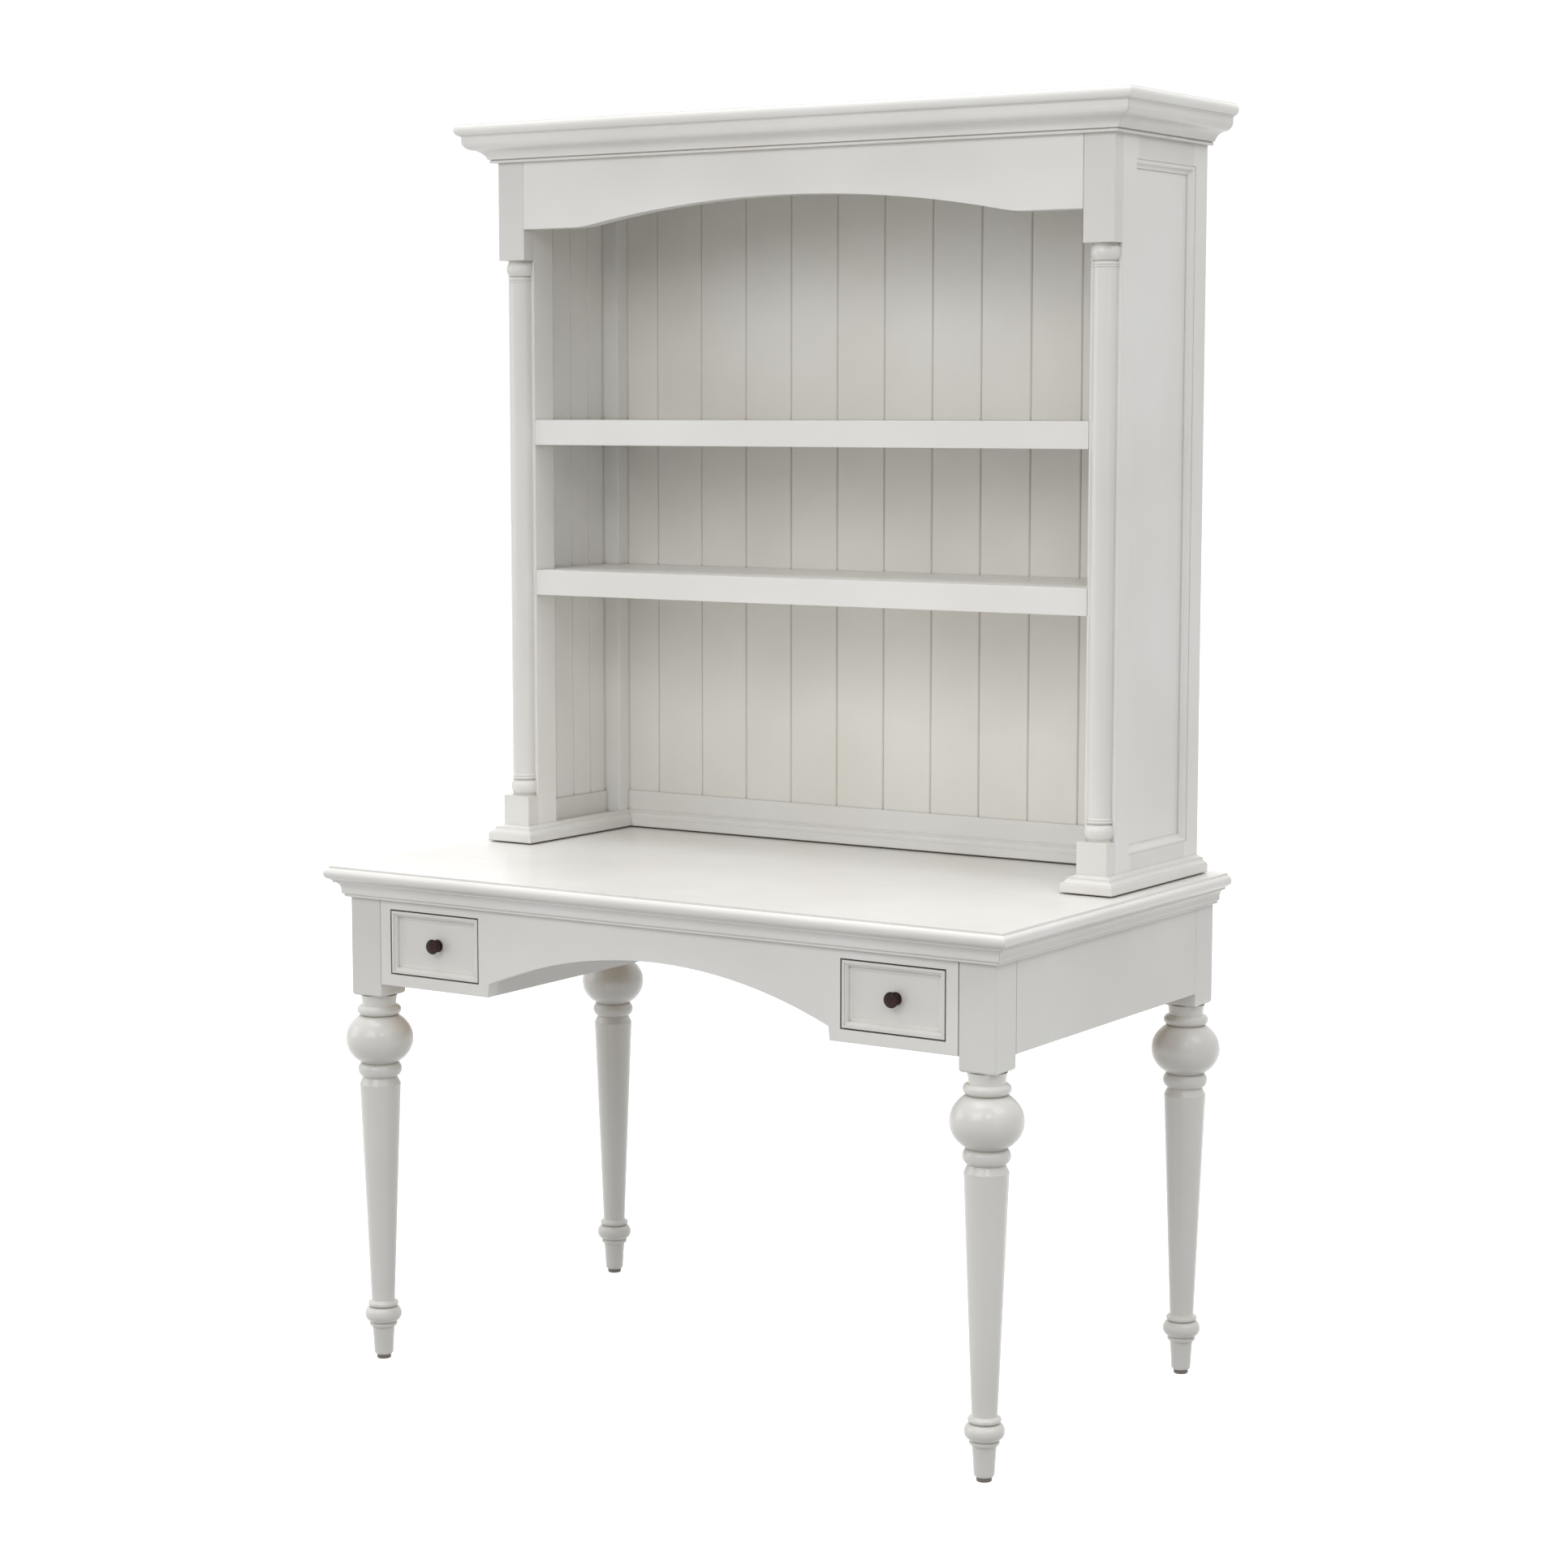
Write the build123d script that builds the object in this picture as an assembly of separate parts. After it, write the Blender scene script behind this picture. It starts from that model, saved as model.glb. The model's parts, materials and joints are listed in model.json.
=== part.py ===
from build123d import *
import os

os.makedirs("parts", exist_ok=True)

# A painted writing desk with turned legs and two small drawers, and the open hutch that stands on it.
# Millimetres. +X is to the right of someone sitting at the desk, +Y to the back, +Z up.
# The origin is on the floor, under the middle of the whole: the rear legs' balls stand out behind the top.

# Desk, overall
desk_width = 1200.0
desk_depth = 700.0
desk_height = 780.0
top_thickness = 22.0
top_overhang = 30.0  # past the legs at the front and sides; the back is flush
top_quirk_width = 6.5  # flat step that sinks the nosing below the top surface
top_quirk_depth = 3.0
nosing_underside = 2.0  # flat left below the round of the nosing

# Bed moulding under the desk top
bed_height = 26.0
bed_reach = 20.0

# Legs
leg_block = 58.0
block_below_apron = 22.0
block_ease = 1.5
block_bottom_round = 5.0
glide_radius = 11.0
glide_height = 7.0
glide_nail_radius = 1.6
glide_nail_length = 18.0

# Turned head of the leg, heights measured down from the square block
head_neck_height = 16.0
head_neck_radius = 28.6
head_ring_radius = 34.1
ball_radius = 52.4
ball_half_height = 44.5
ball_centre_drop = 69.0
ball_cut_angle = 57.5
neck_radius = 26.5
chamfer_height = 10.0
taper_top_drop = 139.0
taper_top_radius = 32.0

# Turned foot of the leg, heights measured up from the floor
foot_radius = 14.8
foot_top = 51.5
foot_top_radius = 17.4
foot_bead_radius = 23.2
foot_bulb_radius = 28.8
foot_bulb_bottom = 59.0
foot_bulb_middle = 71.3
foot_bulb_top = 84.0
taper_bottom = 93.5
taper_bottom_radius = 18.3

# Aprons
apron_bottom = 600.0
apron_thickness = 22.0
arch_step = 20.0
arch_rise = 62.0
apron_joint_gap = 0.8  # shows as a dark line between the front apron and each leg
arch_to_opening = 19.5
arch_foot_lead = 2.0  # the foot of the arch leans out by this much
dowel_radius = 4.0
dowel_depth = 20.0
dowel_above_bottom = 9.0
dowel_below_top = 20.0

# Drawers
opening_width = 171.0
opening_height = 100.5
opening_to_leg = 20.0
opening_above_bottom = 18.0
drawer_gap = 2.2  # shows as a dark line all round each drawer front
drawer_front_thickness = 22.0
drawer_lip = 4.2
drawer_front_ease = 0.8
drawer_moulding_width = 10.0
drawer_moulding_depth = 9.0
drawer_side_thickness = 12.0
drawer_side_height = 80.0
drawer_length = 420.0
drawer_bottom_thickness = 6.0
drawer_bottom_height = 9.0
drawer_groove = 5.0
drawer_clearance = 0.4
runner_foot = 24.0
guide_thickness = 10.0
guide_height = 40.0
kicker_width = 40.0
stop_length = 20.0
stop_height = 14.0

# Knobs
knob_radius = 11.5
knob_reach = 19.0
knob_base_radius = 9.5
knob_base_thickness = 2.5
knob_stem_radius = 4.5
knob_screw_radius = 2.0
knob_screw_depth = 9.0
knob_screw_head_radius = 4.0
knob_screw_head_height = 2.2

# Hutch, overall
hutch_inset = 50.0  # desk top left bare at each side of the hutch
hutch_depth = 295.0
hutch_back_gap = 18.0  # desk top left bare behind the hutch
total_height = 1925.0
spacer_thickness = 2.0  # the hutch stands on thin spacers, which show as a dark line
spacer_inset = 6.0

# Hutch side walls
wall_thickness = 50.0
turning_depth = 25.0
front_post_depth = 50.0
rear_post_depth = 45.0
rail_thickness = 24.0
panel_setback = 10.0  # from the outer face of a post to the outer face of the panel
panel_thickness = 10.0
panel_rebate = 8.0
panel_clearance = 0.5
bottom_rail_height = 58.0
top_rail_height = 83.0
side_groove_pitch = 47.5
groove_width = 4.0
groove_depth = 2.5
panel_moulding_width = 12.0
post_ease = 1.2

# Turned half columns in front of the posts
capital_block_height = 195.0
plinth_block_height = 73.5
bulb_radius = 22.8
bulb_height = 22.0
bulb_gap = 2.5
collar_radius = 20.4
shaft_radius = 19.0

# Hutch back
back_panel_thickness = 9.0
back_panel_inset = 15.0  # from the case back to the beaded face
back_rail_thickness = 19.0
back_groove_pitch = 88.0

# Shelves, tops measured from the desk surface
lower_shelf_height = 441.0
upper_shelf_height = 681.0
shelf_thickness = 40.0
shelf_ease = 1.0

# Frieze under the crown
frieze_bottom_drop = 164.0  # below the top of the hutch
frieze_shoulder = 114.0  # flat lower edge at each end, before the arch
frieze_arch_rise = 37.5
frieze_blend = 150.0

# Crown and base mouldings of the hutch
crown_reach = 50.0
crown_height = 42.0
crown_moulding_reach = 44.0
hutch_top_thickness = 17.0
hutch_top_nosing = 4.0
hutch_top_quirk = 0.6
base_reach = 18.0
base_height = 25.5

# Fastenings
screw_radius = 1.75
cleat_screw_length = 24.0
bracket_screw_length = 16.0  # stops inside the desk top
screw_head_radius = 3.6
screw_head_height = 2.0
bracket_width = 40.0
bracket_inset = 5.0  # from the inner face of the post
bracket_leg = 40.0
bracket_edge = 2.0  # from the foot of a bracket to the back of the desk top
bracket_thickness = 2.0
bracket_screw_spacing = 22.0
bracket_screw_edge = 7.0
cleat_size = 20.0
cleat_counterbore = 6.0
fit = 0.2  # clearance all round a piece that is glued or slid into another

# Worked out from the sizes above
ball_behind = ball_radius - leg_block / 2
front = -(desk_depth + ball_behind) / 2
back = front + desk_depth
top_underside = desk_height - top_thickness
leg_out = desk_width / 2 - top_overhang  # outer face of the legs and side aprons
leg_in = leg_out - leg_block
leg_front = front + top_overhang  # front face of the legs and the front apron
block_bottom = apron_bottom - block_below_apron
leg_axis_x = leg_out - leg_block / 2
leg_axes_y = {"front": leg_front + leg_block / 2, "rear": back - leg_block / 2}
opening_out = leg_in - opening_to_leg
opening_in = opening_out - opening_width
drawer_x = (opening_out + opening_in) / 2
opening_bottom = apron_bottom + opening_above_bottom
opening_top = opening_bottom + opening_height
arch_half = opening_in - arch_to_opening
drawer_width = opening_width - 2 * drawer_gap
drawer_base = opening_bottom + drawer_clearance
drawer_back = leg_front + drawer_front_thickness + drawer_length
panel_face = leg_front + drawer_moulding_depth
case_x = desk_width / 2 - hutch_inset  # outer face of the hutch sides
wall_in = case_x - wall_thickness
case_back = back - hutch_back_gap
case_front = case_back - hutch_depth
post_front = case_front + turning_depth
post_back = post_front + front_post_depth
rear_post_front = case_back - rear_post_depth
hutch_bottom = desk_height + spacer_thickness
case_top = total_height - hutch_top_thickness
crown_bottom = case_top - crown_height
panel_outer = case_x - panel_setback
panel_inner = panel_outer - panel_thickness
bottom_rail_top = hutch_bottom + bottom_rail_height
top_rail_bottom = case_top - top_rail_height
bead_y = case_back - back_panel_inset
frieze_arch_half = wall_in - frieze_shoulder
bracket_foot = hutch_back_gap - bracket_edge
bracket_x = wall_in + bracket_inset + bracket_width / 2
back_rail_front = case_back - back_rail_thickness
plinth_top = hutch_bottom + plinth_block_height
capital_bottom = case_top - capital_block_height
shelf_tops = {
    "lower_shelf": desk_height + lower_shelf_height,
    "upper_shelf": desk_height + upper_shelf_height,
}
hands = {"left": -1, "right": 1}


# Helpers


def box_between(low, high):
    sizes = [b - a for a, b in zip(low, high)]
    return Pos(*low) * Box(*sizes, align=(Align.MIN, Align.MIN, Align.MIN))


def face_of(*lines):
    return make_face([edge for line in lines for edge in line.edges()])


def plan_prism(points, low, high):
    # Upright prism with this outline seen from above.
    return Pos(0, 0, low) * extrude(face_of(Polyline(*points, close=True)), amount=high - low)


def run_of(profile, at, out, length):
    # Straight run of moulding, centred at `at`: profile x stands out from the face, profile y is up.
    plane = Plane(origin=at, x_dir=out, z_dir=Vector(*out).cross(Vector(0, 0, 1)))
    return extrude(plane * profile, amount=length / 2, both=True)


def turned(face, x, y):
    # Solid of revolution about the upright axis through x, y; face x is the radius, face y the height.
    return Pos(x, y, 0) * revolve(Plane.XZ * face, Axis.Z)


def cylinder_between(start, end, radius):
    direction = Vector(*end) - Vector(*start)
    circle = Plane(origin=start, z_dir=direction) * Circle(radius)
    return extrude(circle, amount=direction.length)


def mirrored(shape):
    return mirror(shape, about=Plane.YZ)


def mitred_frame(profile, width, height, reach):
    # Four strips inside a width by height rectangle in the XY plane, mitred at its corners.
    # Profile x runs inwards from the rectangle's edge, and profile y is along Z.
    strips = []
    for turn, (length, offset) in enumerate(2 * [(width, height / 2), (height, width / 2)]):
        half = length / 2
        plane = Plane(origin=(0, -offset, 0), x_dir=(0, 1, 0), z_dir=(1, 0, 0))
        strip = extrude(plane * profile, amount=half, both=True)
        plan = [
            (-half, -offset),
            (half, -offset),
            (half - reach, reach - offset),
            (reach - half, reach - offset),
        ]
        strips.append(Rot(0, 0, 90 * turn) * (strip & plan_prism(plan, -2 * reach, 2 * reach)))
    return strips


def upright_groove(at, into, low, high):
    # Cutter for one V groove between beaded boards, sunk from the face at `at` along `into`.
    half = groove_width / 2
    plane = Plane(origin=(at[0], at[1], low), x_dir=into, z_dir=(0, 0, 1))
    section = Polyline((-1, -half), (0, -half), (groove_depth, 0), (0, half), (-1, half), close=True)
    return extrude(plane * face_of(section), amount=high - low)


def save(name, *parts):
    # One STEP for each node; loose pieces of one kind share a node as separate solids.
    solids = [solid for part in parts for solid in part.solids()]
    export_step(solids[0] if len(solids) == 1 else Compound(children=solids), f"parts/{name}.step")


# Mitred mouldings that run across the front and back along both sides


def mitred_three(profile, half, y_front, y_back, level, height):
    reach = 2 * crown_reach
    low = level - 1
    high = level + height + 1
    y_mid = (y_front + y_back) / 2
    front_run = run_of(profile, (0, y_front, level), (0, -1, 0), 2 * (half + reach))
    front_plan = [
        (-half, y_front),
        (half, y_front),
        (half + reach, y_front - reach),
        (-half - reach, y_front - reach),
    ]
    side_run = run_of(profile, (half, y_mid, level), (1, 0, 0), y_back - y_front + 2 * reach)
    side_plan = [
        (half, y_front),
        (half + reach, y_front - reach),
        (half + reach, y_back),
        (half, y_back),
    ]
    right = side_run & plan_prism(side_plan, low, high)
    return {
        "front": front_run & plan_prism(front_plan, low, high),
        "right": right,
        "left": mirrored(right),
    }


# Desk top and its bed moulding


def nosing_profile(reach, thickness, quirk_width, quirk_depth, underside):
    # Half-round edge of a board, sunk below the surface by a quirk; y = 0 is the underside.
    round_top = thickness - quirk_depth
    return face_of(
        Polyline((0, thickness), (reach - quirk_width, thickness), (reach - quirk_width, round_top)),
        ThreePointArc(
            (reach - quirk_width, round_top),
            (reach, (round_top + underside) / 2),
            (reach - quirk_width, underside),
        ),
        Polyline(
            (reach - quirk_width, underside), (reach - quirk_width - underside, 0), (0, 0), (0, thickness)
        ),
    )


def board_with_nosing(profile, half, y_front, y_back, level, thickness):
    # Board whose front and side edges carry the nosing, in one piece.
    edges = mitred_three(profile, half, y_front, y_back, level, thickness)
    core = box_between((-half, y_front, level), (half, y_back, level + thickness))
    return core + edges["front"] + edges["right"] + edges["left"]


def bed_profile():
    # Fillet, cove and bead; y = 0 is its lower edge.
    cove_x = bed_reach - 4
    cove_y = bed_height - 4
    return face_of(
        Polyline((0, bed_height), (bed_reach, bed_height), (bed_reach, bed_height - 3), (cove_x, cove_y)),
        ThreePointArc((cove_x, cove_y), (cove_x - 4, cove_y - 4.5), (cove_x - 5.5, cove_y - 12)),
        Line((cove_x - 5.5, cove_y - 12), (cove_x - 5.5, cove_y - 14)),
        ThreePointArc(
            (cove_x - 5.5, cove_y - 14), (cove_x - 6.3, cove_y - 16.6), (cove_x - 8.8, cove_y - 17.6)
        ),
        Polyline((cove_x - 8.8, cove_y - 17.6), (cove_x - 8.8, 1), (cove_x - 10, 0), (0, 0), (0, bed_height)),
    )


def make_desk_top():
    profile = nosing_profile(top_overhang, top_thickness, top_quirk_width, top_quirk_depth, nosing_underside)
    board = board_with_nosing(profile, leg_out, leg_front, back, top_underside, top_thickness)
    for screw in bracket_foot_screws() + cleat_screws("up"):
        board -= screw_hole(*screw)
    return board


# Legs, aprons and the dowels between them


def leg_outline():
    ball_y = block_bottom - ball_centre_drop
    taper_top = block_bottom - taper_top_drop
    ball = EllipticalCenterArc(
        (0, ball_y), ball_radius, ball_half_height, start_angle=-ball_cut_angle, arc_size=2 * ball_cut_angle
    )
    neck_bottom = block_bottom - head_neck_height
    chamfer_low = (taper_top_radius, taper_top - 1)
    chamfer_high = (neck_radius, taper_top + chamfer_height)
    lower_ring = (head_ring_radius, (chamfer_high[1] + (ball @ 0).Y) / 2)
    upper_ring = (head_ring_radius, ((ball @ 1).Y + neck_bottom) / 2)
    groove = foot_bead_radius - 3.2
    return face_of(
        Polyline((0, glide_height), (foot_radius - 1.6, glide_height), (foot_radius, glide_height + 2.6)),
        Line((foot_radius, glide_height + 2.6), (foot_top_radius, foot_top)),
        ThreePointArc(
            (foot_top_radius, foot_top),
            (foot_bead_radius - 1.6, foot_top + 3.4),
            (groove, foot_bulb_bottom),
        ),
        ThreePointArc(
            (groove, foot_bulb_bottom), (foot_bulb_radius, foot_bulb_middle), (groove, foot_bulb_top)
        ),
        ThreePointArc(
            (groove, foot_bulb_top), (foot_bead_radius + 0.6, foot_bulb_top + 4), (groove, taper_bottom - 1.5)
        ),
        Line((groove, taper_bottom - 1.5), (taper_bottom_radius, taper_bottom)),
        Line((taper_bottom_radius, taper_bottom), chamfer_low),
        Line(chamfer_low, (taper_top_radius - 0.5, taper_top)),
        Line((taper_top_radius - 0.5, taper_top), chamfer_high),
        ThreePointArc(chamfer_high, lower_ring, ball @ 0),
        ball,
        ThreePointArc(ball @ 1, upper_ring, (neck_radius, neck_bottom)),
        ThreePointArc(
            (neck_radius, neck_bottom),
            (neck_radius + 0.4, neck_bottom + head_neck_height / 2),
            (head_neck_radius, block_bottom),
        ),
        Polyline((head_neck_radius, block_bottom), (0, block_bottom), (0, glide_height)),
    )


def apron_dowels():
    # (start, end) of each dowel, which runs half in a leg and half in an apron.
    heights = (apron_bottom + dowel_above_bottom, top_underside - dowel_below_top)
    front_y = leg_front + apron_thickness / 2
    rear_y = back - apron_thickness / 2
    side_x = leg_out - apron_thickness / 2
    inner_front = leg_front + leg_block
    inner_rear = back - leg_block
    ends = []
    for hand in hands.values():
        for z in heights:
            for y in (front_y, rear_y):
                ends.append(((hand * (leg_in - dowel_depth), y, z), (hand * (leg_in + dowel_depth), y, z)))
            for y in (inner_front, inner_rear):
                ends.append(((hand * side_x, y - dowel_depth, z), (hand * side_x, y + dowel_depth, z)))
    return ends


def with_dowel_holes(shape):
    box = shape.bounding_box()
    for start, end in apron_dowels():
        low = [min(a, b) - dowel_radius for a, b in zip(start, end)]
        high = [max(a, b) + dowel_radius for a, b in zip(start, end)]
        near = all(a < c and b > d for a, b, c, d in zip(low, high, box.max, box.min))
        if near:
            shape -= cylinder_between(start, end, dowel_radius + fit / 2)
    return shape


def make_leg(x, y):
    half = leg_block / 2
    block = box_between((x - half, y - half, block_bottom), (x + half, y + half, top_underside))
    block = fillet(block.edges().filter_by(Axis.Z), block_ease)
    block = fillet(block.edges().group_by(Axis.Z)[0], block_bottom_round)
    leg = block + turned(leg_outline(), x, y)
    nail_top = (x, y, glide_height + glide_nail_length + fit)
    leg -= cylinder_between((x, y, glide_height), nail_top, glide_nail_radius + fit / 2)
    return with_dowel_holes(leg)


def make_glide(x, y):
    outline = face_of(
        Polyline((0, 0), (glide_radius - 1.5, 0)),
        ThreePointArc((glide_radius - 1.5, 0), (glide_radius - 0.44, 0.44), (glide_radius, 1.5)),
        Polyline(
            (glide_radius, 1.5),
            (glide_radius, glide_height),
            (glide_nail_radius, glide_height),
            (glide_nail_radius, glide_height + glide_nail_length - 3),
            (0, glide_height + glide_nail_length),
            (0, 0),
        ),
    )
    return turned(outline, x, y)


def make_front_apron():
    foot = arch_half + arch_foot_lead
    peak = apron_bottom + arch_step + arch_rise
    end = leg_in - apron_joint_gap
    outline = face_of(
        Polyline((-foot, apron_bottom), (-end, apron_bottom), (-end, top_underside), (end, top_underside)),
        Polyline((end, top_underside), (end, apron_bottom), (foot, apron_bottom)),
        Line((foot, apron_bottom), (arch_half, apron_bottom + arch_step)),
        ThreePointArc(
            (arch_half, apron_bottom + arch_step), (0, peak), (-arch_half, apron_bottom + arch_step)
        ),
        Line((-arch_half, apron_bottom + arch_step), (-foot, apron_bottom)),
    )
    apron = extrude(Plane.XZ * outline, amount=-apron_thickness)
    apron = Pos(0, leg_front, 0) * apron
    for hand in hands.values():
        x0, x1 = sorted((hand * opening_in, hand * opening_out))
        apron -= box_between(
            (x0, leg_front - 1, opening_bottom), (x1, leg_front + apron_thickness + 1, opening_top)
        )
    return with_dowel_holes(apron)


def make_side_apron():
    low = (leg_out - apron_thickness, leg_front + leg_block, apron_bottom)
    high = (leg_out, back - leg_block, top_underside)
    apron = box_between(low, high)
    for screw in cleat_screws("out"):
        if screw[0][0] > 0:
            apron -= screw_hole(*screw)
    return with_dowel_holes(apron)


def make_rear_apron():
    low = (-leg_in, back - apron_thickness, apron_bottom)
    high = (leg_in, back, top_underside)
    return with_dowel_holes(box_between(low, high))


# Cleats that hold the top down, and the screws in them and in the hutch's brackets


def screw_at(start, direction, length):
    # Screw with its head seated at `start`, pointing along `direction`.
    way = Vector(*direction)
    tip = Vector(*start) + way * length
    head_top = Vector(*start) - way * screw_head_height
    shank = cylinder_between(start, tuple(tip), screw_radius)
    return shank + cylinder_between(start, tuple(head_top), screw_head_radius)


def screw_hole(start, direction, length):
    way = Vector(*direction)
    beyond = Vector(*start) + way * (length + fit)
    before = Vector(*start) - way * screw_head_height
    return cylinder_between(tuple(before), tuple(beyond), screw_radius + fit / 2)


def cleat_screws(way):
    # The cleats lie in the corner between the side aprons and the top.
    middle = cleat_size / 2
    inner = leg_out - apron_thickness
    found = []
    for hand in hands.values():
        for y in (-desk_depth / 4, desk_depth / 4):
            if way == "up":
                start = (hand * (inner - middle), y, top_underside - cleat_size + cleat_counterbore)
                found.append((start, (0, 0, 1), cleat_screw_length))
            else:
                start = (
                    hand * (inner - cleat_size + cleat_counterbore),
                    y + desk_depth / 8,
                    top_underside - middle,
                )
                found.append((start, (hand, 0, 0), cleat_screw_length))
    return found


def make_cleat():
    inner = leg_out - apron_thickness
    low = (inner - cleat_size, leg_front + leg_block + fit, top_underside - cleat_size)
    high = (inner, back - leg_block - fit, top_underside)
    cleat = box_between(low, high)
    for start, direction, length in cleat_screws("up") + cleat_screws("out"):
        if start[0] > 0:
            outside = Vector(*start) - Vector(*direction) * (cleat_counterbore + 1)
            cleat -= cylinder_between(tuple(outside), start, screw_head_radius + fit)
            cleat -= screw_hole(start, direction, length)
    return cleat


def bracket_foot_screws():
    z = desk_height + bracket_thickness
    y = case_back + (bracket_thickness + bracket_foot) / 2
    half = bracket_screw_spacing / 2
    places = [(hand * bracket_x + dx, y, z) for hand in hands.values() for dx in (-half, half)]
    return [(place, (0, 0, -1), bracket_screw_length) for place in places]


def bracket_post_screws():
    y = case_back + bracket_thickness
    heights = (desk_height + bracket_leg / 2, desk_height + bracket_leg - bracket_screw_edge)
    places = [(hand * bracket_x, y, z) for hand in hands.values() for z in heights]
    return [(place, (0, -1, 0), bracket_screw_length) for place in places]


def make_bracket():
    half = bracket_width / 2
    upright = box_between(
        (bracket_x - half, case_back, desk_height),
        (bracket_x + half, case_back + bracket_thickness, desk_height + bracket_leg),
    )
    foot = box_between(
        (bracket_x - half, case_back, desk_height),
        (bracket_x + half, case_back + bracket_foot, desk_height + bracket_thickness),
    )
    bracket = upright + foot
    for screw in bracket_foot_screws() + bracket_post_screws():
        if screw[0][0] > 0:
            bracket -= screw_hole(*screw)
    return bracket


# Drawers and what they run on


def drawer_section():
    # Section of the sunk moulding on a drawer front: x runs in from the lip, y is minus the depth.
    width = drawer_moulding_width
    depth = drawer_moulding_depth
    foot = 0.5 * width
    sunk = 0.82 * depth
    return face_of(
        ThreePointArc((0, -1.2), (0.3 * width, -0.3 * depth), (foot, -sunk)),
        Polyline((foot, -sunk), (width - 0.8, -0.93 * depth), (width, -depth), (width, -depth - 1)),
        Polyline((width, -depth - 1), (0, -depth - 1), (0, -1.2)),
    )


def make_drawer_front():
    height = opening_height - 2 * drawer_gap
    board = Pos(0, 0, -drawer_front_thickness / 2) * Box(drawer_width, height, drawer_front_thickness)
    board = fillet(board.faces().sort_by(Axis.Z)[-1].edges(), drawer_front_ease)
    sunk_width = drawer_width - 2 * drawer_lip
    sunk_height = height - 2 * drawer_lip
    board -= Box(sunk_width, sunk_height, 2 * drawer_moulding_depth)
    for strip in mitred_frame(drawer_section(), sunk_width, sunk_height, 1.2 * drawer_moulding_width):
        board += strip
    middle = (drawer_x, leg_front, (opening_bottom + opening_top) / 2)
    front_board = Plane(origin=middle, x_dir=(1, 0, 0), z_dir=(0, -1, 0)) * board
    front_board -= drawer_bottom_panel(fit)
    return front_board - knob_screw(fit / 2)


def drawer_bottom_panel(grown=0.0):
    # The bottom slides in grooves in the front, sides and back.
    half = drawer_width / 2 - drawer_side_thickness + drawer_groove - fit
    y0 = leg_front + drawer_front_thickness - drawer_groove + fit
    y1 = drawer_back - drawer_side_thickness + drawer_groove - fit
    z0 = drawer_base + drawer_bottom_height
    low = (drawer_x - half - grown, y0 - grown, z0 - grown)
    high = (drawer_x + half + grown, y1 + grown, z0 + drawer_bottom_thickness + grown)
    return box_between(low, high)


def make_drawer_side(hand):
    outer = drawer_x + hand * drawer_width / 2
    inner = outer - hand * drawer_side_thickness
    low = (min(outer, inner), leg_front + drawer_front_thickness, drawer_base)
    high = (max(outer, inner), drawer_back, drawer_base + drawer_side_height)
    return box_between(low, high) - drawer_bottom_panel(fit)


def make_drawer_back():
    half = drawer_width / 2 - drawer_side_thickness
    low = (drawer_x - half, drawer_back - drawer_side_thickness, drawer_base)
    high = (drawer_x + half, drawer_back, drawer_base + drawer_side_height)
    return box_between(low, high) - drawer_bottom_panel(fit)


def knob_axis(y):
    return (drawer_x, y, (opening_bottom + opening_top) / 2)


def make_knob():
    # Flat-crowned mushroom on a small round base; face y is the distance out from the panel.
    head = knob_reach - 8.0
    outline = face_of(
        Polyline((0, 0), (knob_base_radius, 0), (knob_base_radius, knob_base_thickness - 0.8)),
        ThreePointArc(
            (knob_base_radius, knob_base_thickness - 0.8),
            (knob_base_radius - 0.3, knob_base_thickness - 0.2),
            (knob_base_radius - 1.2, knob_base_thickness),
        ),
        ThreePointArc(
            (knob_base_radius - 1.2, knob_base_thickness),
            (knob_stem_radius, head / 2 + 1),
            (knob_stem_radius + 1.5, head - 1.0),
        ),
        ThreePointArc(
            (knob_stem_radius + 1.5, head - 1.0), (knob_radius - 1.6, head), (knob_radius, head + 2.6)
        ),
        ThreePointArc(
            (knob_radius, head + 2.6), (knob_radius - 1.4, head + 5.2), (knob_radius - 4.5, head + 6.9)
        ),
        TangentArc((0, knob_reach), (knob_radius - 4.5, head + 6.9), tangent=(1, 0)),
        Line((0, knob_reach), (0, 0)),
    )
    knob = revolve(Plane.XZ * outline, Axis.Z)
    knob = Plane(origin=knob_axis(panel_face), x_dir=(1, 0, 0), z_dir=(0, -1, 0)) * knob
    return knob - knob_screw(fit / 2)


def knob_screw(grown=0.0):
    inside = leg_front + drawer_front_thickness
    tip = panel_face - knob_screw_depth - grown
    shank = cylinder_between(knob_axis(inside), knob_axis(tip), knob_screw_radius + grown)
    return shank + cylinder_between(
        knob_axis(inside), knob_axis(inside + knob_screw_head_height), knob_screw_head_radius
    )


def drawer_pieces():
    # The right-hand drawer; the left one is its mirror image.
    return {
        "drawer_front": make_drawer_front(),
        "drawer_outer_side": make_drawer_side(1),
        "drawer_inner_side": make_drawer_side(-1),
        "drawer_back": make_drawer_back(),
        "drawer_bottom": drawer_bottom_panel(),
        "knob": make_knob(),
        "knob_screw": knob_screw(),
    }


def make_runner(hand):
    # L-shaped: the foot carries one drawer side and the upright guides it.
    side_face = drawer_x + hand * (drawer_width / 2 + drawer_clearance)
    outer = side_face + hand * guide_thickness
    inner = outer - hand * runner_foot
    y0 = leg_front + apron_thickness
    y1 = back - apron_thickness
    foot_low = (min(outer, inner), y0, apron_bottom)
    foot_high = (max(outer, inner), y1, opening_bottom)
    guide_low = (min(outer, side_face), y0, opening_bottom)
    guide_high = (max(outer, side_face), y1, opening_bottom + guide_height)
    return box_between(foot_low, foot_high) + box_between(guide_low, guide_high)


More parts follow.
